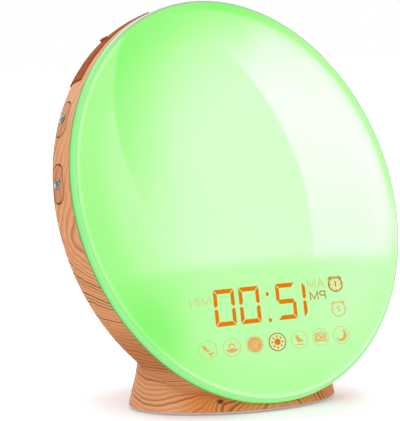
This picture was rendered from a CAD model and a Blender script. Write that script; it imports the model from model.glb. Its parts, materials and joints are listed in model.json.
"""Looks of a sunrise alarm clock: wood-grain housing, glowing cover, lit display and rim keys.

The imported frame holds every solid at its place, in metres, with the lit face towards -Y.
Each sub-assembly below dresses its own nodes, and the display adds its lit figures.
"""

import json
import logging
import math
from dataclasses import dataclass, field
from enum import Enum
from functools import cached_property
from typing import Iterable, Sequence, Union

import bpy
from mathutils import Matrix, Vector
from mathutils.bvhtree import BVHTree


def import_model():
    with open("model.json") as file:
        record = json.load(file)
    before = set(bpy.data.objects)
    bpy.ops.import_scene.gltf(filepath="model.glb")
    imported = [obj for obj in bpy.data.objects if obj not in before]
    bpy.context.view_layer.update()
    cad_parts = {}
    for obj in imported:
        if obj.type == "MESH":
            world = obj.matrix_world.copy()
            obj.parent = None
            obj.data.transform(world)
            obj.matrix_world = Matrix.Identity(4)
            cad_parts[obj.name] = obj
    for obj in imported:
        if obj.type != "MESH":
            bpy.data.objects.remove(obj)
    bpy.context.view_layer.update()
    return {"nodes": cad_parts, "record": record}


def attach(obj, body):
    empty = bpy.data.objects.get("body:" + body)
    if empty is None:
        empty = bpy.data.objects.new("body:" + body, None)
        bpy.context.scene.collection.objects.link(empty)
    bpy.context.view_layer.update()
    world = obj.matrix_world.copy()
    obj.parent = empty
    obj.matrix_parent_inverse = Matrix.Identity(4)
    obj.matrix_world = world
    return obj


LOG = logging.getLogger("alarm_clock")
MM = 0.001

Point = tuple[float, float]
Place = tuple[float, float, float]
Colour = tuple[float, float, float, float]
Number = Union["Value", float]
Input = Union["Value", float, Place, Colour]

WHITE: Colour = (1.0, 1.0, 1.0, 1.0)
# Numbers of the colour sockets of Blender's Mix node, whose names all of its kinds share.
MIX_LOW, MIX_HIGH, MIX_COLOUR = 6, 7, 2


def linear(value: float) -> float:
    """Undo the display curve of one channel, given from 0 to 255."""
    share = value / 255.0
    return share / 12.92 if share <= 0.04045 else ((share + 0.055) / 1.055) ** 2.4


def paint(red: float, green: float, blue: float) -> Colour:
    """Turn a display colour, from 0 to 255, into the linear colour that a shader takes."""
    return (linear(red), linear(green), linear(blue), 1.0)


def dimmed(colour: Colour, share: float) -> Colour:
    """Give a share of a colour, with full opacity."""
    return tuple(part * share for part in colour[:3]) + (1.0,)


def link(name: str, data: bpy.types.ID) -> bpy.types.Object:
    """Make an object that holds the data and put it in the scene.

    Args:
        name: The object's name.
        data: Its mesh, lamp or camera.

    Returns:
        The new object.
    """
    piece = bpy.data.objects.new(name, data)
    bpy.context.scene.collection.objects.link(piece)
    return piece


def solid(name: str, points: Iterable[Vector], faces: list[list[int]]) -> bpy.types.Object:
    """Make a mesh object.

    Args:
        name: Its name.
        points: Its corners in metres.
        faces: The numbers of each face's corners, in order.

    Returns:
        The new object.
    """
    mesh = bpy.data.meshes.new(name)
    mesh.from_pydata([tuple(point) for point in points], [], faces)
    mesh.validate()
    mesh.update()
    return link(name, mesh)


def prism(
    name: str, tops: list[Vector], bottoms: list[Vector], caps: list[list[int]]
) -> bpy.types.Object:
    """Make a thin solid between two matching sets of corners.

    Args:
        name: The object's name.
        tops: Corners of its upper side, in metres.
        bottoms: The same corners on its lower side.
        caps: The numbers of each upper face's corners, anticlockwise.

    Returns:
        The new object.
    """
    count = len(tops)
    faces: list[list[int]] = []
    edges: dict[tuple[int, int], None] = {}
    for cap in caps:
        faces += [list(cap), [index + count for index in reversed(cap)]]
        edges.update(dict.fromkeys(zip(cap, cap[1:] + cap[:1])))
    for start, end in edges:
        if (end, start) not in edges:
            faces.append([end, start, start + count, end + count])
    return solid(name, tops + bottoms, faces)


@dataclass(frozen=True)
class LeaningFace:
    """The disc's own directions: right, up along the face, and out of the face.

    All its lengths are in millimetres, and its points come out in metres.
    """

    tilt: float = 18.0
    centre: Place = (0.0, -6.8, 89.7)
    radius: float = 89.6
    crown: float = 6.0

    @property
    def up(self) -> Vector:
        """Direction up along the leaning face."""
        lean = math.radians(self.tilt)
        return Vector((0.0, math.sin(lean), math.cos(lean)))

    @property
    def out(self) -> Vector:
        """Direction straight out of the face."""
        lean = math.radians(self.tilt)
        return Vector((0.0, -math.cos(lean), math.sin(lean)))

    def dome(self, right: float, up: float) -> float:
        """Height of the cover's outer surface above the disc's front circle."""
        ball = (self.radius**2 + self.crown**2) / (2.0 * self.crown)
        return math.sqrt(ball**2 - right**2 - up**2) - ball + self.crown

    def on_cover(self, right: float, up: float, lift: float) -> Vector:
        """Give a point that stands a little above the cover's outer surface.

        Args:
            right: Place to the viewer's right of the centre.
            up: Place up along the face from the centre.
            lift: Height above the surface.

        Returns:
            The point in metres.
        """
        out = self.dome(right, up) + lift
        place = Vector(self.centre) + Vector((right, 0.0, 0.0)) + up * self.up + out * self.out
        return place * MM

    def rim_direction(self, angle: float) -> Vector:
        """Direction to the rim, in degrees from the top, positive to the viewer's right."""
        turn = math.radians(angle)
        return Vector((math.sin(turn), 0.0, 0.0)) + math.cos(turn) * self.up


FACE = LeaningFace()


# ---------------- node graphs


@dataclass(frozen=True)
class Value:
    """An output of a graph. The usual signs combine numbers."""

    graph: "Graph"
    socket: bpy.types.NodeSocket

    def __add__(self, other: Number) -> "Value":
        """Add a number to it."""
        return self.graph.math("ADD", self, other)

    def __mul__(self, other: Number) -> "Value":
        """Multiply it by a number."""
        return self.graph.math("MULTIPLY", self, other)

    def __sub__(self, other: Number) -> "Value":
        """Take a number from it."""
        return self.graph.math("SUBTRACT", self, other)

    def __rsub__(self, other: Number) -> "Value":
        """Take it from a number."""
        return self.graph.math("SUBTRACT", other, self)

    def __truediv__(self, other: Number) -> "Value":
        """Divide it by a number."""
        return self.graph.math("DIVIDE", self, other)

    __radd__, __rmul__ = __add__, __mul__

    def rise(self, low: float, high: float, bottom: float = 0.0, top: float = 1.0) -> "Value":
        """Go smoothly from one number to another as this value goes from low to high.

        Args:
            low: Where the result is the bottom.
            high: Where the result is the top, above or below low.
            bottom: The result at low.
            top: The result at high.

        Returns:
            The result.
        """
        ends = (low, high, bottom, top) if low < high else (high, low, top, bottom)
        inputs = dict(enumerate((self, *ends)))
        return self.graph.node("ShaderNodeMapRange", inputs, interpolation_type="SMOOTHSTEP")


class Graph:
    """A node tree, with one short call for each kind of node."""

    def __init__(self, tree: bpy.types.NodeTree) -> None:
        """Take the tree that the nodes go into."""
        self.tree = tree

    def add(self, kind: str, **settings: object) -> bpy.types.Node:
        """Add a node.

        Args:
            kind: The node's type.
            **settings: Its properties by name.

        Returns:
            The new node.
        """
        node = self.tree.nodes.new(kind)
        for name, value in settings.items():
            setattr(node, name, value)
        return node

    def wire(self, value: Input, socket: bpy.types.NodeSocket) -> None:
        """Link an output to a socket, or set a constant on it.

        Args:
            value: An output, a number, a vector or a colour.
            socket: The input that takes it.
        """
        if isinstance(value, Value):
            self.tree.links.new(value.socket, socket)
        else:
            socket.default_value = value

    def node(
        self, kind: str, inputs: dict[Union[int, str], Input], output: Union[int, str] = 0,
        **settings: object,
    ) -> Value:
        """Add a node and fill its inputs.

        Args:
            kind: The node's type.
            inputs: What its inputs take, by number or name.
            output: Number or name of the output that is wanted.
            **settings: Its properties by name.

        Returns:
            That output.
        """
        node = self.add(kind, **settings)
        for key, value in inputs.items():
            self.wire(value, node.inputs[key])
        return Value(self, node.outputs[output])

    def math(self, operation: str, *values: Number) -> Value:
        """Combine one to three numbers by the operation of that name."""
        return self.node("ShaderNodeMath", dict(enumerate(values)), operation=operation)

    def largest(self, first: Number, second: Number) -> Value:
        """Give the larger of two numbers."""
        return self.math("MAXIMUM", first, second)

    def length(self, first: Number, *others: Number) -> Value:
        """Length of a vector given by its parts."""
        return self.math("SQRT", sum((part * part for part in others), first * first))

    def mix(self, share: Value, low: Input, high: Input) -> Value:
        """Go from one colour at share 0 to another at share 1."""
        inputs = {0: share, MIX_LOW: low, MIX_HIGH: high}
        return self.node("ShaderNodeMix", inputs, MIX_COLOUR, data_type="RGBA")

    def ramp(self, value: Value, stops: Sequence[tuple[float, Colour]]) -> Value:
        """Look a colour up along a row of colours.

        Args:
            value: The place along the row, from 0 to 1.
            stops: Places and their colours, in order, the first at 0 and the last at 1.

        Returns:
            The colour.
        """
        colour = self.node("ShaderNodeValToRGB", {"Fac": value}, "Color")
        elements = colour.socket.node.color_ramp.elements
        elements[0].color, elements[1].color = stops[0][1], stops[-1][1]
        for place, shade in stops[1:-1]:
            elements.new(place).color = shade
        return colour

    def noise(self, vector: Value, scale: float, detail: float = 2.0) -> Value:
        """Sample a smooth random pattern around 0.5, with finer layers as its detail."""
        inputs = {"Vector": vector, "Scale": scale, "Detail": detail}
        return self.node("ShaderNodeTexNoise", inputs, "Fac")

    def join(self, *parts: Number) -> Value:
        """Make a vector from its three parts."""
        return self.node("ShaderNodeCombineXYZ", dict(enumerate(parts)))

    def stretch(self, vector: Value, along: Place) -> Value:
        """Multiply each part of a vector by its own number."""
        return self.node("ShaderNodeVectorMath", {0: vector, 1: along}, operation="MULTIPLY")


class Material(Graph):
    """The graph of a new material, with the places on its object."""

    def __init__(self, name: str) -> None:
        """Start the material with an empty tree.

        Args:
            name: The material's name.
        """
        self.made = bpy.data.materials.new(name)
        self.made.use_nodes = True
        super().__init__(self.made.node_tree)
        self.tree.nodes.clear()

    @cached_property
    def metres(self) -> Value:
        """Place on the object in metres."""
        return self.node("ShaderNodeTexCoord", {}, "Object")

    @cached_property
    def place(self) -> Value:
        """Place on the object in millimetres."""
        inputs = {0: self.metres, "Scale": 1.0 / MM}
        return self.node("ShaderNodeVectorMath", inputs, operation="SCALE")

    @cached_property
    def parts(self) -> list[Value]:
        """The place's three parts."""
        first = self.node("ShaderNodeSeparateXYZ", {0: self.place})
        return [Value(self, part) for part in first.socket.node.outputs]

    def close(self, shader: Value) -> bpy.types.Material:
        """Put a shader on the surface and give the material."""
        self.wire(shader, self.add("ShaderNodeOutputMaterial").inputs["Surface"])
        return self.made

    def surface(self, **inputs: Input) -> bpy.types.Material:
        """Close with a surface shader, its inputs named with underscores for spaces."""
        named = {name.replace("_", " "): value for name, value in inputs.items()}
        return self.close(self.node("ShaderNodeBsdfPrincipled", named, "BSDF"))

    def bump(self, height: Value, depth: float, strength: float) -> Value:
        """Roughen the surface by a pattern, whose 1 stands for a depth in millimetres."""
        inputs = {"Height": height, "Distance": depth * MM, "Strength": strength}
        return self.node("ShaderNodeBump", inputs, "Normal")


# ---------------- finishes


@dataclass(frozen=True)
class Look:
    """A named finish, which draws its material in a graph of its own."""

    name: str

    @cached_property
    def g(self) -> Material:
        """The graph of its material, started at its first use."""
        return Material(self.name)


@dataclass(frozen=True)
class WoodFinish(Look):
    """Satin printed wood: rings around a side knot in front, long upright grain behind.

    Lengths are in millimetres. A pair of heights says where a change starts and ends.
    """

    pale: Colour
    warm: Colour
    line: Colour
    heart: Colour = paint(74, 36, 20)
    front_knot: Place = (-62.0, -25.0, 80.0)
    front_pull: Point = (1.5, 0.5)
    back_knot: Place = (-56.0, 34.0, 70.0)
    back_pull: Point = (0.3, 0.2)
    base_knot: Place = (-29.2, -25.8, 7.0)
    mirror_softness: float = 10.0
    side_pull: float = 0.6
    side_heights: Point = (52.0, 20.0)
    stretch_up: float = 3.4
    sway: Point = (3.0, 8.0)
    ripple: float = 2.2
    base_knot_bend: float = 4.5
    ring_growth: float = 40.0
    ring_count: float = 60.0
    warm_heights: Point = (58.0, 18.0)
    plain_heights: Point = (58.0, 34.0)
    line_heights: Point = (140.0, 78.0)
    shell_waist: float = 66.0
    shell_lean: float = 0.325
    back_depths: Point = (12.0, 22.0)
    roughness: float = 0.5
    gloss: float = 0.12

    @cached_property
    def behind(self) -> Value:
        """0 in front and at the sides, 1 on the back."""
        leaning = self.g.largest(self.g.parts[2] - self.shell_waist, 0.0)
        return (self.g.parts[1] - leaning * self.shell_lean).rise(*self.back_depths)

    @cached_property
    def from_base_knot(self) -> Value:
        """Distance from the small knot on the pedestal's front."""
        return self.g.length(*(part - knot for part, knot in zip(self.g.parts, self.base_knot)))

    def pattern(self, upright: float, scale: float) -> Value:
        """Sample a random pattern around 0.5, longer upright the smaller the first number."""
        return self.g.noise(self.g.stretch(self.g.place, (1.0, 1.0, upright)), scale)

    def reach(self) -> Value:
        """Measure how far out from the knots a growth ring lies.

        Returns:
            The distance, which runs smoothly from front to back.
        """
        x, y, z = self.g.parts
        height = z - self.front_knot[2]
        squeeze = 1.0 - height.rise(-8.0, 20.0) * (1.0 - 1.0 / self.stretch_up)
        pull = z.rise(*self.side_heights) * (self.front_pull[0] - self.side_pull) + self.side_pull
        front = self.g.length(
            (self.g.length(x, self.mirror_softness) + self.front_knot[0]) * pull,
            (y - self.front_knot[1]) * self.front_pull[1],
            height * squeeze,
        )
        back = self.g.length(
            x - self.back_knot[0],
            (y - self.back_knot[1]) * self.back_pull[0],
            (z - self.back_knot[2]) * self.back_pull[1],
        )
        sway = self.pattern(0.5, 0.022) - 0.5
        return (
            front * (1.0 - self.behind)
            + back * self.behind
            + sway * (front.rise(15.0, 65.0) * self.sway[1] + self.sway[0])
            + (self.pattern(0.6, 0.11) - 0.5) * self.ripple
            + self.from_base_knot.rise(9.0, 0.0) * self.base_knot_bend
        )

    def body(self, ring: Value) -> Value:
        """Colour the wood between its ring lines.

        Args:
            ring: Number of the ring, with its fraction.

        Returns:
            The colour.
        """
        mix = self.g.mix
        x, y, z = self.g.parts
        fibre = self.g.noise(self.g.join(ring * 1.6, y * 0.05, z * 0.03), 1.0)
        waist = z.rise(44.0, 31.0) * z.rise(15.0, 25.0) * 0.3
        toe = x.rise(-36.0, -48.0) * z.rise(24.0, 12.0) * 0.6
        warmth = self.g.largest(z.rise(*self.warm_heights), self.behind * 0.9)
        body = mix(warmth, self.pale, self.warm)
        body = mix(self.pattern(0.3, 0.03).rise(0.40, 0.70) * 0.5, body, self.warm)
        body = mix(toe, mix(waist, body, self.line), self.pale)
        return mix(fibre.rise(0.5, 0.8) * 0.22, body, self.line)

    def material(self) -> bpy.types.Material:
        """Build the material.

        Returns:
            The new material.
        """
        g = self.g
        x, _, z = g.parts
        reach = self.reach()
        ring = g.math("LOGARITHM", reach / self.ring_growth + 1.0, math.e) * self.ring_count
        share = g.math("FRACT", ring)
        late = share.rise(0.25, 0.85) * share.rise(1.0, 0.90)
        weight = g.noise(g.join(g.math("FLOOR", ring), 3.7, 1.3), 0.73, 0.0).rise(0.42, 0.72)
        near = reach.rise(4.0, 24.0) * 0.5 + 0.5
        plain = z.rise(*self.plain_heights) * (1.0 - self.behind) * -0.24 + 1.0
        low = g.largest(z.rise(*self.line_heights), self.behind)
        fade = (low * 0.78 + 0.22) * near * plain
        dark = late * (weight * 0.66 + 0.34) * fade
        body = g.mix(dark, self.body(ring), self.line)
        knot = self.from_base_knot
        knot_line = knot.rise(0.9, 1.5) * knot.rise(2.6, 1.9) * x.rise(-27.4, -28.6)
        return g.surface(
            Base_Color=g.mix(knot_line * 0.85, body, self.heart),
            Roughness=dark * 0.12 + self.roughness,
            Specular_IOR_Level=self.gloss,
            Normal=g.bump(1.0 - dark, 0.03, 0.4),
        )


@dataclass(frozen=True)
class GlowLobe:
    """A large soft circle of light or shade in the cover, in millimetres."""

    centre: Point
    radius: float
    softness: float
    gain: float

    def outside(self, reach: Value) -> Value:
        """1 well outside the circle and 0 inside, from the distance to its centre."""
        return reach.rise(self.radius - self.softness, self.radius + self.softness)


@dataclass(frozen=True)
class GlowFinish(Look):
    """Milky cover lit from behind: a pale pool of light that turns to fresh green at its edge.

    Lengths are in millimetres along the face, right and up from its centre. Paleness goes
    from 0, deep green, to 1, white.
    """

    stops: tuple[tuple[float, Colour], ...] = (
        (0.0, paint(118, 248, 88)),
        (0.33, paint(164, 252, 136)),
        (0.50, paint(186, 253, 165)),
        (0.70, paint(211, 254, 199)),
        (0.85, paint(229, 253, 223)),
        (1.0, paint(248, 255, 244)),
    )
    band: Colour = paint(134, 236, 126)
    corner: Colour = paint(148, 244, 140)
    edge: Colour = paint(128, 196, 122)
    rim: Colour = paint(168, 190, 166)
    side: Colour = paint(146, 212, 140)
    shade: Colour = paint(40, 96, 44)
    unlit: Colour = paint(58, 66, 56)
    shine: float = 0.93
    pool: Point = (20.0, -5.0)
    lens: GlowLobe = GlowLobe((16.0, 28.0), 79.0, 1.2, 0.17)
    glare: GlowLobe = GlowLobe((-67.0, -3.0), 99.0, 1.6, 0.25)
    dim_spot: Point = (-62.0, -52.0)
    horizon: float = -29.0
    horizon_sag: float = 3.5

    @cached_property
    def face_place(self) -> tuple[Value, Value, Value]:
        """Find the place on the face.

        Returns:
            Right, up and height above the front circle.
        """
        x, y, z = self.g.parts
        lean = math.radians(FACE.tilt)
        back, high = y - FACE.centre[1], z - FACE.centre[2]
        up = back * math.sin(lean) + high * math.cos(lean)
        out = back * -math.cos(lean) + high * math.sin(lean)
        return x, up, out

    def away(self, centre: Point) -> Value:
        """Distance along the face from a point of it."""
        right, up, _ = self.face_place
        return self.g.length(right - centre[0], up - centre[1])

    @cached_property
    def reach(self) -> Value:
        """Distance from the middle of the face."""
        return self.g.length(*self.face_place[:2])

    def upper(self) -> Value:
        """Light the face above the horizon.

        Returns:
            The paleness.
        """
        right, up, _ = self.face_place
        pool = self.away(self.pool).rise(108.0, 50.0) * 0.36 + 0.34
        from_lens = self.away(self.lens.centre)
        halo = self.lens.outside(from_lens)
        lens_side = up.rise(-24.0, 44.0) * right.rise(14.0, -30.0)
        shade = (1.0 - halo) * from_lens.rise(38.0, self.lens.radius) * -self.lens.gain
        lens = (shade + halo * 0.06) * lens_side
        outside = self.glare.outside(self.away(self.glare.centre))
        veiled = up.rise(42.0, 78.0) * right.rise(36.0, 6.0)
        strong = up.rise(-34.0, 30.0) * 0.55 + 0.55
        glare_side = self.reach.rise(88.5, 76.0) * strong * (1.0 - veiled)
        return pool + lens + outside * glare_side * self.glare.gain

    def lower(self) -> Value:
        """Light the face below the horizon.

        Returns:
            The paleness.
        """
        right = self.face_place[0]
        sides = right.rise(8.0, 62.0) * 0.10 + 0.50 + right.rise(-22.0, -74.0) * -0.22
        return sides + self.away(self.dim_spot).rise(22.0, 4.0) * -0.15

    def paleness(self) -> Value:
        """Light the whole face.

        Returns:
            The paleness.
        """
        right, up, _ = self.face_place
        sag = right * right * (self.horizon_sag / FACE.radius**2)
        below = (self.horizon - sag - up).rise(-3.5, 3.5)
        mixed = self.upper() * (1.0 - below) + self.lower() * below
        spared = right.rise(15.0, 60.0) * up.rise(-48.0, -12.0)
        fall = self.reach.rise(68.0, 84.0) * (spared * 0.22 + -0.09)
        corner = (right + up).rise(60.0, 100.0) * self.reach.rise(83.0, 86.5) * -0.30
        cloud = self.g.noise(self.g.join(right, up, 0.0), 0.02)
        return mixed + fall + corner + (cloud - 0.5) * 0.05

    def material(self) -> bpy.types.Material:
        """Build the material.

        Returns:
            The new material.
        """
        g, reach = self.g, self.reach
        right, up, out = self.face_place
        leftward = (right + up).rise(50.0, -10.0)
        ring = reach.rise(86.3, 87.0) * reach.rise(88.4, 88.1) * leftward * 0.18
        groove = reach.rise(88.15, 88.3) * reach.rise(88.65, 88.5) * leftward * 0.45
        colour = g.ramp(self.paleness() + ring, self.stops)
        colour = g.mix(groove, colour, self.edge)
        colour = g.mix(reach.rise(88.6, 88.75), colour, g.mix(leftward, self.rim, self.corner))
        colour = g.mix(out.rise(-0.75, -0.95), colour, g.mix(leftward, self.side, self.band))
        colour = g.mix(out.rise(-1.9, -3.1) * 0.8, colour, self.shade)
        speck = g.noise(g.place, 1.4, 3.0)
        return g.surface(
            Emission_Color=colour,
            Emission_Strength=self.shine,
            Base_Color=self.unlit,
            Roughness=speck * 0.08 + 0.34,
            Specular_IOR_Level=0.25,
            Normal=g.bump(speck, 0.01, 0.3),
        )


@dataclass(frozen=True)
class MouldedFinish(Look):
    """Moulded plastic, rubber or paper: one colour with faint mottling and a fine skin."""

    colour: Colour
    roughness: float = 0.45
    mottle: float = 0.12
    skin_scale: float = 2.2
    skin_depth: float = 0.03
    coat: float = 0.0

    def material(self) -> bpy.types.Material:
        """Build the material.

        Returns:
            The new material.
        """
        cloud = self.g.noise(self.g.place, 0.12, 3.0).rise(0.3, 0.7)
        skin = self.g.noise(self.g.place, self.skin_scale, 3.0)
        return self.g.surface(
            Base_Color=self.g.mix(cloud, self.colour, dimmed(self.colour, 1.0 - self.mottle)),
            Roughness=skin * 0.12 + (self.roughness - 0.06),
            Coat_Weight=self.coat,
            Normal=self.g.bump(skin, self.skin_depth, 0.6),
        )


@dataclass(frozen=True)
class MetalFinish(Look):
    """Plated or pressed metal with drawn lines along one direction."""

    colour: Colour
    roughness: float = 0.25
    drawn: Place = (0.4, 6.0, 6.0)
    line_depth: float = 0.01
    shading: float = 0.8

    def material(self) -> bpy.types.Material:
        """Build the material.

        Returns:
            The new material.
        """
        lines = self.g.noise(self.g.stretch(self.g.place, self.drawn), 1.0, 3.0)
        darker = dimmed(self.colour, self.shading)
        return self.g.surface(
            Base_Color=self.g.mix(lines.rise(0.35, 0.7), self.colour, darker),
            Roughness=lines * 0.1 + (self.roughness - 0.05),
            Metallic=1.0,
            Normal=self.g.bump(lines, self.line_depth, 0.5),
        )


@dataclass(frozen=True)
class BoardFinish(Look):
    """Solder mask over copper: green, with paler tracks and a light weave."""

    mask: Colour = paint(24, 92, 52)
    track: Colour = paint(46, 128, 74)
    track_pitch: float = 1.6

    def material(self) -> bpy.types.Material:
        """Build the material.

        Returns:
            The new material.
        """
        g = self.g
        wander = g.noise(g.place, 0.16, 1.0) * 3.0
        lane = g.math("FRACT", g.parts[0] / self.track_pitch + wander)
        track = lane.rise(0.40, 0.48) * lane.rise(0.72, 0.64)
        weave = g.noise(g.stretch(g.place, (4.0, 1.0, 4.0)), 1.0, 1.0)
        return g.surface(
            Base_Color=g.mix(track, self.mask, self.track),
            Roughness=weave * 0.14 + 0.26,
            Coat_Weight=0.3,
            Normal=g.bump(track + weave * 0.2, 0.03, 0.6),
        )


@dataclass(frozen=True)
class LitFinish(Look):
    """A figure that shines through the cover, a little brighter in its middle grain."""

    colour: Colour
    deeper: Colour
    shine: float = 0.92
    unlit: Colour = paint(20, 14, 8)

    def material(self) -> bpy.types.Material:
        """Build the material."""
        grain = self.g.noise(self.g.place, 0.9).rise(0.36, 0.66)
        return self.g.surface(
            Emission_Color=self.g.mix(grain, self.deeper, self.colour),
            Emission_Strength=self.shine,
            Base_Color=self.unlit,
            Roughness=0.5,
            Specular_IOR_Level=0.0,
        )


class Finish(Enum):
    """Every finish of the clock, named as the record names its slots."""

    diffuser = GlowFinish("glowing_cover")
    wood_grain = WoodFinish(
        "printed_wood", paint(243, 183, 140), paint(229, 147, 78), paint(118, 52, 22)
    )
    wood_grain_dark = WoodFinish(
        "printed_wood_dark", paint(176, 94, 46), paint(160, 80, 36), paint(104, 46, 20),
        roughness=0.6, gloss=0.04,
    )
    wood_grain_key = WoodFinish(
        "printed_wood_key", paint(224, 158, 116), paint(206, 134, 88), paint(140, 74, 42),
        roughness=0.42,
    )
    plate_plastic = MouldedFinish("pale_plate", paint(248, 248, 247), 0.35, 0.04)
    pad_rubber = MouldedFinish("rubber_pad", paint(62, 62, 66), 0.8, 0.2, 3.0, 0.06)
    zinc_screw = MetalFinish("zinc_plate", paint(196, 198, 202), 0.3)
    reflector_plastic = MouldedFinish("white_reflector", paint(244, 244, 241), 0.25, 0.04)
    circuit_board = BoardFinish("circuit_board")
    led = MouldedFinish("led_resin", paint(250, 232, 150), 0.2, 0.1, coat=0.4)
    mask_plastic = MouldedFinish("black_mask", paint(30, 30, 33), 0.5, 0.25)
    lit_segment = LitFinish("lit_orange", paint(244, 132, 16), paint(232, 116, 10))
    icon_lens = LitFinish("lit_peach", paint(240, 204, 142), paint(234, 190, 128), 0.9)
    chip = MouldedFinish("chip_resin", paint(34, 34, 36), 0.6, 0.2)
    port_steel = MetalFinish("port_steel", paint(186, 188, 192), 0.28)
    port_insulator = MouldedFinish("port_insulator", paint(26, 26, 28), 0.55)
    grille_plastic = MouldedFinish("brown_grille", paint(186, 122, 80), 0.55, 0.18, 1.6, 0.05)
    gasket_foam = MouldedFinish("gasket_foam", paint(44, 44, 46), 0.9, 0.3, 4.0, 0.15)
    basket_steel = MetalFinish("basket_steel", paint(150, 152, 156), 0.4)
    cone_paper = MouldedFinish("cone_paper", paint(52, 50, 48), 0.85, 0.25, 5.0, 0.08)
    ferrite = MouldedFinish("ferrite", paint(58, 58, 62), 0.7, 0.25)
    button_chrome = MetalFinish(
        "button_chrome", paint(168, 167, 166), 0.12, (0.9, 0.9, 0.9), 0.003, 0.08
    )
    ribbon_cable = MouldedFinish("ribbon_cable", paint(214, 214, 208), 0.5, 0.15)
    wire_insulation = MouldedFinish("wire_insulation", paint(176, 34, 30), 0.45)
    aerial_insulation = MouldedFinish("aerial_insulation", paint(40, 40, 42), 0.5)


class Print(Enum):
    """Printed marks."""

    dark = MouldedFinish("brown_print", paint(132, 72, 46), 0.5, 0.2)


class Tint(Enum):
    """Colours of the lit figures on the cover."""

    orange = LitFinish("figure_orange", paint(240, 138, 8), paint(234, 124, 2))
    amber = LitFinish("figure_amber", paint(212, 130, 16), paint(192, 110, 10))
    bronze = LitFinish("figure_bronze", paint(168, 118, 44), paint(150, 100, 34))
    peach = LitFinish("figure_peach", paint(246, 190, 112), paint(240, 176, 100))
    faint = LitFinish("figure_faint", paint(218, 222, 146), paint(222, 210, 138))
    straw = LitFinish("figure_straw", paint(234, 250, 178), paint(226, 244, 166))


class Wardrobe:
    """Keeps one material for each finish and puts it on objects."""

    def __init__(self) -> None:
        """Start with no material made."""
        self.made: dict[Enum, bpy.types.Material] = {}

    def dress(self, piece: bpy.types.Object, finish: Enum) -> None:
        """Put a finish on every material slot of an object.

        Args:
            piece: The object.
            finish: Its finish, whose material is made at its first use.
        """
        if finish not in self.made:
            self.made[finish] = finish.value.material()
        if not piece.material_slots:
            piece.data.materials.append(None)
        for slot in piece.material_slots:
            slot.material = self.made[finish]
        LOG.info("dressed %s in %s", piece.name, finish.name)


# ---------------- lit figures


def on_circle(centre: Point, radius: float, angle: float) -> Point:
    """Give the point of a circle at an angle in degrees, anticlockwise from the right."""
    turn = math.radians(angle)
    return centre[0] + radius * math.cos(turn), centre[1] + radius * math.sin(turn)


def arc(centre: Point, radius: float, start: float, end: float, count: int) -> list[Point]:
    """Give evenly spaced points along a circular arc, from one angle to another."""
    step = (end - start) / (count - 1)
    return [on_circle(centre, radius, start + step * k) for k in range(count)]


def circle(centre: Point, radius: float, count: int) -> list[Point]:
    """Give evenly spaced points all round a circle."""
    return arc(centre, radius, 0.0, 360.0 * (count - 1) / count, count)


def anticlockwise(outline: Sequence[Point]) -> Sequence[Point]:
    """Give the same outline, turned round if it ran clockwise."""
    sides = zip(outline, [*outline[1:], outline[0]])
    return outline if sum(a[0] * b[1] - b[0] * a[1] for a, b in sides) > 0.0 else outline[::-1]


def mitre(before: Point, here: Point, after: Point) -> Point:
    """Find the sideways step of a line at one of its points.

    Args:
        before: The point before it, or the point itself at a start.
        here: The point.
        after: The point after it, or the point itself at an end.

    Returns:
        The step to the left for a half width of 1, longer at a corner.
    """
    came, goes = Vector(here) - Vector(before), Vector(after) - Vector(here)
    came = (came if came.length else goes).normalized()
    goes = (goes if goes.length else came).normalized()
    along = (came + goes).normalized()
    reach = 1.0 / max(along.dot(came), 0.5)
    return -along.y * reach, along.x * reach


@dataclass(frozen=True)
class Mark:
    """A line of one width, or a filled outline where the width is 0."""

    points: Sequence[Point]
    width: float = 0.0
    closed: bool = False


def rays(centre: Point, angles: Iterable[float], ends: Point, width: float) -> list[Mark]:
    """Give short lines that point away from a centre, between two distances."""
    return [Mark([on_circle(centre, end, angle) for end in ends], width) for angle in angles]


def ring(radius: float, width: float, centre: Point = (0.0, 0.0)) -> Mark:
    """Give a circular line."""
    return Mark(circle(centre, radius, 40), width, True)


def disc(radius: float, centre: Point = (0.0, 0.0)) -> Mark:
    """Give a filled circle."""
    return Mark(circle(centre, radius, 28))


@dataclass
class Figure:
    """A flat lit figure made of marks, laid on the cover as a thin solid.

    Its centre is its middle on the face, right and up. It is widened and heightened by its
    spread, and goes from the sink below the cover's surface to the lift above it.
    """

    name: str
    centre: Point
    lift: float
    spread: Point
    sink: float = 0.08
    points: list[Point] = field(default_factory=list)
    caps: list[list[int]] = field(default_factory=list)

    def take(self, points: Iterable[Point]) -> list[int]:
        """Keep points.

        Args:
            points: The points, about the figure's centre.

        Returns:
            Their numbers.
        """
        first = len(self.points)
        (wide, tall), (right, up) = self.spread, self.centre
        self.points.extend((x * wide + right, y * tall + up) for x, y in points)
        return list(range(first, len(self.points)))

    def draw(self, mark: Mark) -> None:
        """Add a filled outline or a line.

        Args:
            mark: What is added.
        """
        if not mark.width:
            self.caps.append(self.take(anticlockwise(mark.points)))
            return
        line = mark.points
        first, last = (line[-1], line[0]) if mark.closed else (line[0], line[-1])
        sides = [mitre(*three) for three in zip([first, *line], line, [*line[1:], last])]
        lefts, rights = (
            self.take((x + side[0] * half, y + side[1] * half) for (x, y), side in zip(line, sides))
            for half in (mark.width / 2.0, -mark.width / 2.0)
        )
        ends = list(zip(lefts, rights))
        for (left, right), (next_left, next_right) in zip(ends, ends[1:] + ends[: mark.closed]):
            self.caps.append([left, right, next_right, next_left])

    def build(self) -> bpy.types.Object:
        """Make the solid.

        Returns:
            The new piece.
        """
        tops = [FACE.on_cover(x, y, self.lift) for x, y in self.points]
        bottoms = [FACE.on_cover(x, y, -self.sink) for x, y in self.points]
        return prism(self.name, tops, bottoms, self.caps)


@dataclass(frozen=True)
class Layer:
    """The marks of one figure, which share a colour, a height and the record's slot."""

    marks: Sequence[Mark]
    tint: Tint = Tint.peach
    suffix: str = ""
    lift: float = 0.12
    slot: Finish = Finish.icon_lens


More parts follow.
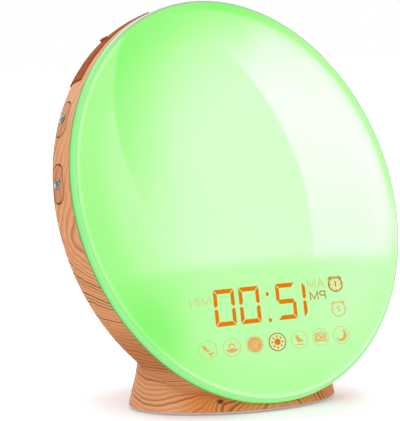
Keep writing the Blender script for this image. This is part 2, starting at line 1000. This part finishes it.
@dataclass(frozen=True)
class DigitForm:
    """Seven bars that make up one leaning digit, with mitred corners."""

    width: float = 11.2
    height: float = 15.7
    bar: float = 1.9
    gap: float = 0.3
    lean: float = 0.064
    top_cut: float = 0.1
    middle_cut: float = 0.5
    point_cut: float = 0.6

    def outline(self, letter: str) -> list[Point]:
        """Outline of one bar, leaned.

        Args:
            letter: The bar's usual letter, from a at the top to g in the middle.

        Returns:
            Its corners in order.
        """
        wide, tall, half = self.width / 2, self.height / 2, self.bar / 2
        inner, flat, top = wide - self.bar, wide - self.gap, tall - self.gap
        if letter == "g":
            right = [(inner, -half), (flat - self.point_cut, 0.0), (inner, half)]
            form = right + [(-x, -y) for x, y in right]
        elif letter in "ad":
            right = [(flat - self.bar, tall - self.bar), (flat, tall)]
            form = right + [(-x, y) for x, y in reversed(right)]
        else:
            low = [(inner, self.gap + half), (wide - half, self.gap)]
            high = [(wide, self.gap + self.middle_cut), (wide, top - self.top_cut)]
            form = [(inner, top - self.bar), *low, *high]
        flip_x = -1.0 if letter in "ef" else 1.0
        flip_y = -1.0 if letter in "cde" else 1.0
        return [(flip_x * x + self.lean * flip_y * y, flip_y * y) for x, y in form]


LETTER_GAP = 0.24


class Letter(Enum):
    """Letters as strokes in a box one high, read the normal way round."""

    A = (((0.0, 0.0), (0.36, 1.0), (0.72, 0.0)), ((0.14, 0.36), (0.58, 0.36)))
    I = (((0.06, 0.0), (0.06, 1.0)),)
    M = (((0.0, 0.0), (0.0, 1.0), (0.4, 0.12), (0.8, 1.0), (0.8, 0.0)),)
    N = (((0.0, 0.0), (0.0, 1.0), (0.64, 0.0), (0.64, 1.0)),)
    P = (
        ((0.0, 0.0), (0.0, 0.97), (0.4, 0.97), (0.58, 0.86), (0.58, 0.6), (0.4, 0.48), (0.0, 0.48)),
    )

    @property
    def advance(self) -> float:
        """Width that the letter takes, with the space after it."""
        return max(x for line in self.value for x, _ in line) + LETTER_GAP


@dataclass(frozen=True)
class Word:
    """A short word on the display, drawn as a mirror image."""

    text: str
    middle: Point
    width: float
    tint: Tint
    stroke: float = 0.5
    height: float = 3.5

    def marks(self) -> list[Mark]:
        """Draw the word about its middle.

        Returns:
            Its strokes.
        """
        letters = [Letter[sign] for sign in self.text]
        natural = sum(letter.advance for letter in letters) - LETTER_GAP
        scale = self.width / natural
        start = natural / 2
        marks = []
        for letter in letters:
            for line in letter.value:
                points = [((start - x) * scale, (y - 0.5) * self.height) for x, y in line]
                marks.append(Mark(points, self.stroke))
            start -= letter.advance
        return marks


@dataclass(frozen=True)
class AlarmForm:
    """A small alarm clock: a ring with two bells and four ticks."""

    width: float
    radius: float = 3.6
    bell_foot: float = 4.15
    bell_top: float = 4.75
    bell_lean: float = 38.0
    bell_half: float = 15.0
    middle: Point = (0.0, -0.5)

    def marks(self) -> list[Mark]:
        """Draw the clock without its hands.

        Returns:
            Its marks.
        """
        bells = []
        for side in (-1.0, 1.0):
            low = 90.0 - side * self.bell_lean - self.bell_half
            high = low + 2.0 * self.bell_half
            top = arc(self.middle, self.bell_top, low, high, 9)
            bells.append(Mark(top + arc(self.middle, self.bell_foot, high, low, 9)))
        ticks = rays(self.middle, range(0, 360, 90), (2.55, 3.1), self.width * 0.8)
        return [ring(self.radius, self.width, self.middle), *bells, *ticks]


@dataclass(frozen=True)
class Display:
    """Time, words and icons that shine through the lower part of the cover."""

    wardrobe: Wardrobe
    digit: DigitForm = DigitForm()
    digits: tuple[tuple[str, float, str], ...] = (
        ("minute_units", -25.9, "abcdef"),
        ("minute_tens", -12.2, "abcdef"),
        ("hour_units", 8.5, "afgcd"),
        ("hour_tens", 23.95, "fe"),
    )
    digit_up: float = -47.5
    colon: tuple[Point, ...] = ((-1.7, -43.6), (-2.15, -54.9))
    colon_half: float = 0.85
    colon_cut: float = 0.4
    words: tuple[Word, ...] = (
        Word("AM", (27.3, -41.1), 9.6, Tint.faint),
        Word("PM", (27.5, -46.3), 9.0, Tint.amber),
        Word("MIN", (-38.4, -43.9), 10.6, Tint.faint, 0.42),
    )
    alarm_spread: Point = (1.15, 0.87)
    icon_up: float = -64.5
    icon_spacing: float = 12.65
    icon_radius: float = 4.35
    lit_line: float = 0.42
    dim_line: float = 0.3
    icon_spread: Point = (1.08, 0.87)
    glow_lift: float = 0.05

    def build(self) -> None:
        """Lay every figure on the cover."""
        for name, middle, bars in self.digits:
            marks = [Mark(self.digit.outline(letter)) for letter in bars]
            self.lay(name, (middle, self.digit_up), [self.lit_bars(marks)])
        self.lay("colon", (0.0, 0.0), [self.lit_bars([self.dot(place) for place in self.colon])])
        for word in self.words:
            self.lay(f"word_{word.text.lower()}", word.middle, [Layer(word.marks(), word.tint)])
        self.lay("alarm_one", (39.2, -41.7), self.lit_alarm(), self.alarm_spread)
        self.lay("alarm_two", (38.8, -52.7), self.dim_alarm(), self.alarm_spread)
        icons = self.icons()
        for place, (name, layers) in enumerate(icons.items()):
            centre = ((place - (len(icons) - 1) / 2) * self.icon_spacing, self.icon_up)
            lit = name == "sun"
            edge = ring(self.icon_radius, self.lit_line if lit else self.dim_line)
            rim = Layer([edge], Tint.bronze if lit else Tint.faint, "_ring")
            self.lay(name, centre, [rim, *layers], self.icon_spread)

    def lay(
        self, name: str, centre: Point, layers: Sequence[Layer], spread: Point = (1.0, 1.0)
    ) -> None:
        """Make a figure from each layer, dress it and let it ride on the case.

        Args:
            name: The figures' name.
            centre: Their middle on the face.
            layers: What they are made of.
            spread: How much they are widened and heightened.
        """
        for layer in layers:
            figure = Figure(f"figure_{name}{layer.suffix}", centre, layer.lift, spread)
            for mark in layer.marks:
                figure.draw(mark)
            piece = figure.build()
            self.wardrobe.dress(piece, layer.tint)
            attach(piece, "case")
            LOG.info("laid %s on the cover", piece.name)

    def lit_bars(self, marks: Sequence[Mark]) -> Layer:
        """Give bars or dots the digits' colour."""
        return Layer(marks, Tint.orange, slot=Finish.lit_segment)

    def dot(self, place: Point) -> Mark:
        """Draw one dot of the colon, with cut corners.

        Args:
            place: Its middle.

        Returns:
            Its outline.
        """
        far, near = self.colon_half, self.colon_half * self.colon_cut
        half = [(far, -near), (far, near), (near, far), (-near, far)]
        outline = half + [(-x, -y) for x, y in half]
        return Mark([(place[0] + x, place[1] + y) for x, y in outline])

    def lit_alarm(self) -> list[Layer]:
        """Draw the first alarm, which is on and shows a 1.

        Returns:
            Its layers.
        """
        form = AlarmForm(0.62)
        glow = Layer([disc(form.radius, form.middle)], Tint.straw, "_glow", self.glow_lift)
        one = Mark([(0.0, -1.6), (0.0, 1.1)], 0.6)
        return [glow, Layer([*form.marks(), one], Tint.amber)]

    def dim_alarm(self) -> list[Layer]:
        """Draw the second alarm, which is off and shows a 2.

        Returns:
            Its layer.
        """
        curve = [(0.75, 0.35), (0.4, 0.9), (-0.4, 0.9), (-0.75, 0.35), (0.75, -1.5), (-0.8, -1.5)]
        return [Layer([*AlarmForm(0.42).marks(), Mark(curve, 0.4)])]

    def icons(self) -> dict[str, list[Layer]]:
        """Draw the row of round icons, without their rings.

        Returns:
            The layers of each icon by its name, from left to right.
        """
        bird_down = [
            (-2.7, 1.7), (-2.2, 2.5), (-1.4, 2.5), (-1.0, 1.5), (-0.2, 0.2), (1.2, -0.5),
            (-0.2, -0.8), (-1.6, -0.2), (-2.2, 0.8),
        ]
        bird_up = [
            (-2.0, 1.9), (-1.4, 2.6), (-0.6, 2.3), (-0.2, 1.2), (0.8, 0.2), (2.3, -1.0),
            (0.4, -1.4), (-1.0, -1.0), (-1.7, 0.3),
        ]
        branch = [
            Mark([(-0.2, -1.8), (1.2, -2.2), (2.6, -1.6)], 0.55),
            Mark([(0.9, -3.5), (1.2, -2.2), (0.6, -1.2)], 0.45),
            Mark([(1.9, -0.9), (1.7, -1.9)], 0.4),
        ]
        hill = arc((0.0, 1.8), 4.4, 218.0, 322.0, 13) + [(1.4, -0.8), (0.0, -0.3), (-1.4, -0.8)]
        sunrise = [
            Mark(arc((0.0, 0.3), 1.3, -20.0, 200.0, 13), 0.6),
            *rays((0.0, 0.3), (35.0, 90.0, 145.0), (2.1, 2.8), 0.45),
            Mark(hill),
        ]
        leaf = [
            Mark([(-2.2, -1.6), (-0.6, -1.0), (0.8, 0.2), (1.7, 1.6)], 0.4),
            Mark([(-0.9, 1.9), (-0.6, 0.6), (0.4, -0.4)], 0.35),
            Mark([(0.4, -2.3), (1.0, -1.2), (0.8, 0.2)], 0.35),
        ]
        radio = [
            Mark([(-2.9, -1.8), (2.9, -1.8), (2.9, 1.8), (-2.9, 1.8)], 0.6, True),
            ring(1.05, 0.7, (-1.15, -0.1)),
            *(Mark([(x, -1.1), (x, 1.1)], 0.65) for x in (0.75, 1.85)),
            Mark([(-2.2, 2.1), (1.6, 3.1)], 0.4),
        ]
        outer = arc((0.0, 0.0), 3.1, -150.0, 62.0, 25)
        crescent = outer + arc((-0.95, 0.75), 2.6, 48.0, -136.0, 25)
        sun_rays = rays((0.0, 0.0), range(0, 360, 45), (2.3, 3.2), 0.55)
        sun_glow = disc(self.icon_radius - 0.1)
        return {
            "bird_on_branch": [Layer([Mark(bird_down), *branch])],
            "sunrise": [Layer(sunrise)],
            "leaf_disc": [Layer([disc(3.8)], lift=0.08), Layer(leaf, Tint.faint, "_leaf")],
            "sun": [
                Layer([sun_glow], Tint.straw, "_glow", self.glow_lift),
                Layer([disc(1.6)], Tint.orange),
                Layer(sun_rays, Tint.bronze, "_rays"),
            ],
            "bird_on_line": [Layer([Mark(bird_up), Mark([(-1.9, -2.5), (2.1, -2.5)], 0.45)])],
            "radio": [Layer(radio)],
            "moon": [Layer([Mark(crescent)])],
        }


# ---------------- sub-assemblies


@dataclass(frozen=True)
class Group:
    """A sub-assembly whose pieces the frame already shapes: it gives each its finish."""

    nodes: dict[str, bpy.types.Object]
    slots: dict[str, str]
    wardrobe: Wardrobe
    members: tuple[str, ...]

    def dress(self) -> None:
        """Dress every member in the finish of its slot."""
        for name in self.members:
            self.wardrobe.dress(self.nodes[name], Finish[self.slots[name]])


@dataclass(frozen=True)
class RimKeys:
    """Rockers, chrome buttons and long bars set in the rim.

    Lengths are in millimetres and places in degrees from the top of the rim.
    """

    nodes: dict[str, bpy.types.Object]
    wardrobe: Wardrobe
    places: tuple[tuple[str, float], ...] = (
        ("left_upper", -62.3),
        ("left_lower", -81.0),
        ("right_upper", 62.3),
        ("right_lower", 81.0),
        ("top", 0.0),
    )
    key_depth: float = 8.6
    dot_shift: float = 6.1
    dot_radius: float = 0.55
    dot_height: float = 0.08
    dot_corners: int = 20

    def dress(self) -> None:
        """Dress the keys and print a small dot on each rocker."""
        for name, angle in self.places:
            self.wardrobe.dress(self.nodes[f"rocker_{name}"], Finish.wood_grain_key)
            self.wardrobe.dress(self.nodes[f"button_{name}"], Finish.button_chrome)
            self.dot(name, angle)
        for name in ("snooze_bar", "lamp_bar"):
            self.wardrobe.dress(self.nodes[name], Finish.wood_grain_dark)

    def dot(self, name: str, angle: float) -> None:
        """Print the dot near a rocker's upper end.

        Args:
            name: The rocker's place on the rim.
            angle: That place in degrees.
        """
        towards_top = -math.copysign(1.0, angle) if angle else -1.0
        turn = math.degrees(self.dot_shift / FACE.radius) * towards_top
        outwards = FACE.rim_direction(angle + turn)
        start = Vector(FACE.centre) * MM - FACE.out * self.key_depth * MM
        start += outwards * 2 * FACE.radius * MM
        rocker = self.nodes[f"rocker_{name}"].data
        tree = BVHTree.FromPolygons(
            [v.co for v in rocker.vertices], [tuple(p.vertices) for p in rocker.polygons]
        )
        place, normal, _, _ = tree.ray_cast(start, -outwards)
        if place is None:
            LOG.warning("no rocker under the dot of %s", name)
            return
        side = normal.orthogonal().normalized()
        other = normal.cross(side)
        count = self.dot_corners
        edge = []
        for k in range(count):
            step = 2.0 * math.pi * k / count
            outer = (side * math.cos(step) + other * math.sin(step)) * self.dot_radius * MM
            edge.append(place + outer)
        high = normal * self.dot_height * MM
        tops, bottoms = [p + high for p in edge], [p - high for p in edge]
        piece = prism(f"dot_{name}", tops, bottoms, [list(range(count))])
        self.wardrobe.dress(piece, Print.dark)
        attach(piece, f"rocker_{name}")
        LOG.info("printed %s", piece.name)


# ---------------- studio


@dataclass(frozen=True)
class Lamp:
    """A square soft lamp, in metres and watts."""

    name: str
    place: Place
    size: float
    power: float


@dataclass(frozen=True)
class Studio:
    """Pale floor, soft lamps, white surroundings and the camera. Lengths are in metres."""

    floor_half: float = 3.0
    floor_colour: Colour = (0.79, 0.8, 0.81, 1.0)
    floor_lift: float = 0.24
    floor_reach: Point = (0.04, 0.12)
    ambient: float = 0.64
    lamps: tuple[Lamp, ...] = (
        Lamp("key_lamp", (-1.05, -0.75, 0.95), 0.9, 6.4),
        Lamp("low_lamp", (-0.75, -0.95, 0.17), 0.3, 1.6),
        Lamp("fill_lamp", (0.9, -0.7, 0.7), 1.0, 2.2),
        Lamp("back_lamp", (0.3, 1.1, 0.9), 1.0, 3.6),
    )
    target: Place = tuple(part * MM for part in FACE.centre)
    azimuth: float = -40.56
    elevation: float = 4.915
    distance: float = 1.2416
    lens: float = 244.8
    aim_left: float = 0.866
    aim_down: float = 0.2468

    def build(self) -> None:
        """Make the floor, the surroundings, the lamps and the camera."""
        self.floor()
        self.surroundings()
        for lamp in self.lamps:
            self.hang(lamp)
        self.camera()
        bpy.context.scene.view_settings.view_transform = "Standard"

    def seen(self, g: Graph) -> Value:
        """Tell rays that look at the surroundings from rays that light things.

        Args:
            g: The graph that asks.

        Returns:
            1 for camera, mirror and see-through rays, else 0.
        """
        path = g.add("ShaderNodeLightPath")
        kinds = ("Camera", "Glossy", "Transmission")
        camera, glossy, clear = (Value(g, path.outputs[f"Is {kind} Ray"]) for kind in kinds)
        return g.largest(g.largest(camera, glossy), clear)

    def floor(self) -> None:
        """Lay the floor, white where the camera sees it unshaded."""
        half = self.floor_half
        sheet = [(-half, -half, 0.0), (half, -half, 0.0), (half, half, 0.0), (-half, half, 0.0)]
        floor = solid("studio_floor", sheet, [[0, 1, 2, 3]])
        g = Material("floor_paper")
        away = g.node("ShaderNodeVectorMath", {0: g.metres}, "Value", operation="LENGTH")
        strength = self.seen(g) * away.rise(*self.floor_reach, self.floor_lift, 1.0)
        paper = g.node("ShaderNodeBsdfDiffuse", {"Color": self.floor_colour})
        lift = g.node("ShaderNodeEmission", {"Strength": strength})
        floor.data.materials.append(g.close(g.node("ShaderNodeAddShader", {0: paper, 1: lift})))

    def surroundings(self) -> None:
        """Make the world white to look at and a plain ambient light otherwise."""
        world = bpy.data.worlds.new("studio_world")
        bpy.context.scene.world = world
        world.use_nodes = True
        g = Graph(world.node_tree)
        background = g.tree.nodes["Background"]
        g.wire(WHITE, background.inputs["Color"])
        g.wire(self.seen(g).rise(0.0, 1.0, self.ambient), background.inputs["Strength"])

    def hang(self, lamp: Lamp) -> None:
        """Hang one lamp that looks at the clock.

        Args:
            lamp: The lamp.
        """
        data = bpy.data.lights.new(lamp.name, "AREA")
        data.size = lamp.size
        data.energy = lamp.power
        hung = link(lamp.name, data)
        hung.location = lamp.place
        look = Vector(self.target) - Vector(lamp.place)
        hung.rotation_euler = look.to_track_quat("-Z", "Y").to_euler()

    def camera(self) -> None:
        """Stand the camera to the clock's left, a little above its middle."""
        turn, rise = math.radians(self.azimuth), math.radians(self.elevation)
        level = math.cos(rise)
        back = Vector((math.sin(turn) * level, -math.cos(turn) * level, math.sin(rise)))
        right = (-back).cross(Vector((0.0, 0.0, 1.0))).normalized()
        up = right.cross(-back)
        aside, down = math.radians(self.aim_left), math.radians(self.aim_down)
        look = -back - right * math.tan(aside) - up * math.tan(down)
        data = bpy.data.cameras.new("studio_camera")
        data.lens = self.lens
        camera = link("studio_camera", data)
        camera.location = Vector(self.target) + back * self.distance
        camera.rotation_mode = "QUATERNION"
        camera.rotation_quaternion = look.to_track_quat("-Z", "Y")
        bpy.context.scene.camera = camera


# ---------------- the whole clock


class Assembly(Enum):
    """Which nodes belong to which sub-assembly."""

    housing = ("housing_shell", "front_cover")
    base = ("base_plate", "anti_slip_pad", "base_screws")
    lamp = ("reflector_plate", "reflector_screws", "light_board", "light_leds")
    readout = (
        "display_board", "digit_block", "digit_segments", "indicator_left", "indicator_right",
        "icon_box", "icon_lenses",
    )
    electronics = (
        "main_board", "main_board_screws", "board_chips", "coin_cell_holder", "coin_cell",
        "port_board", "port_board_screws",
    )
    ports = ("usb_a_port", "usb_a_tongue", "micro_usb_port", "micro_usb_tongue")
    speaker = (
        "speaker_grille", "speaker_screws", "speaker_gasket", "speaker_basket", "speaker_cone",
        "speaker_magnet",
    )
    switches = (
        "key_board_left_upper", "key_board_left_lower", "key_board_right_upper",
        "key_board_right_lower", "key_board_top", "key_board_snooze", "key_board_lamp",
        "key_switches",
    )
    wiring = (
        "display_ribbon", "light_ribbon", "speaker_leads", "port_leads", "key_harness_left",
        "key_harness_right", "aerial_wire",
    )


def main() -> None:
    """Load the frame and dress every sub-assembly."""
    logging.basicConfig(level=logging.INFO, format="%(name)s: %(message)s")
    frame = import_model()
    nodes = frame["nodes"]
    slots = {part["node"]: part["material_slot"] for part in frame["record"]["subparts"]}
    wardrobe = Wardrobe()
    for group in Assembly:
        LOG.info("sub-assembly %s", group.name)
        Group(nodes, slots, wardrobe, group.value).dress()
    RimKeys(nodes, wardrobe).dress()
    Display(wardrobe).build()
    Studio().build()


if __name__ == "__main__":
    main()
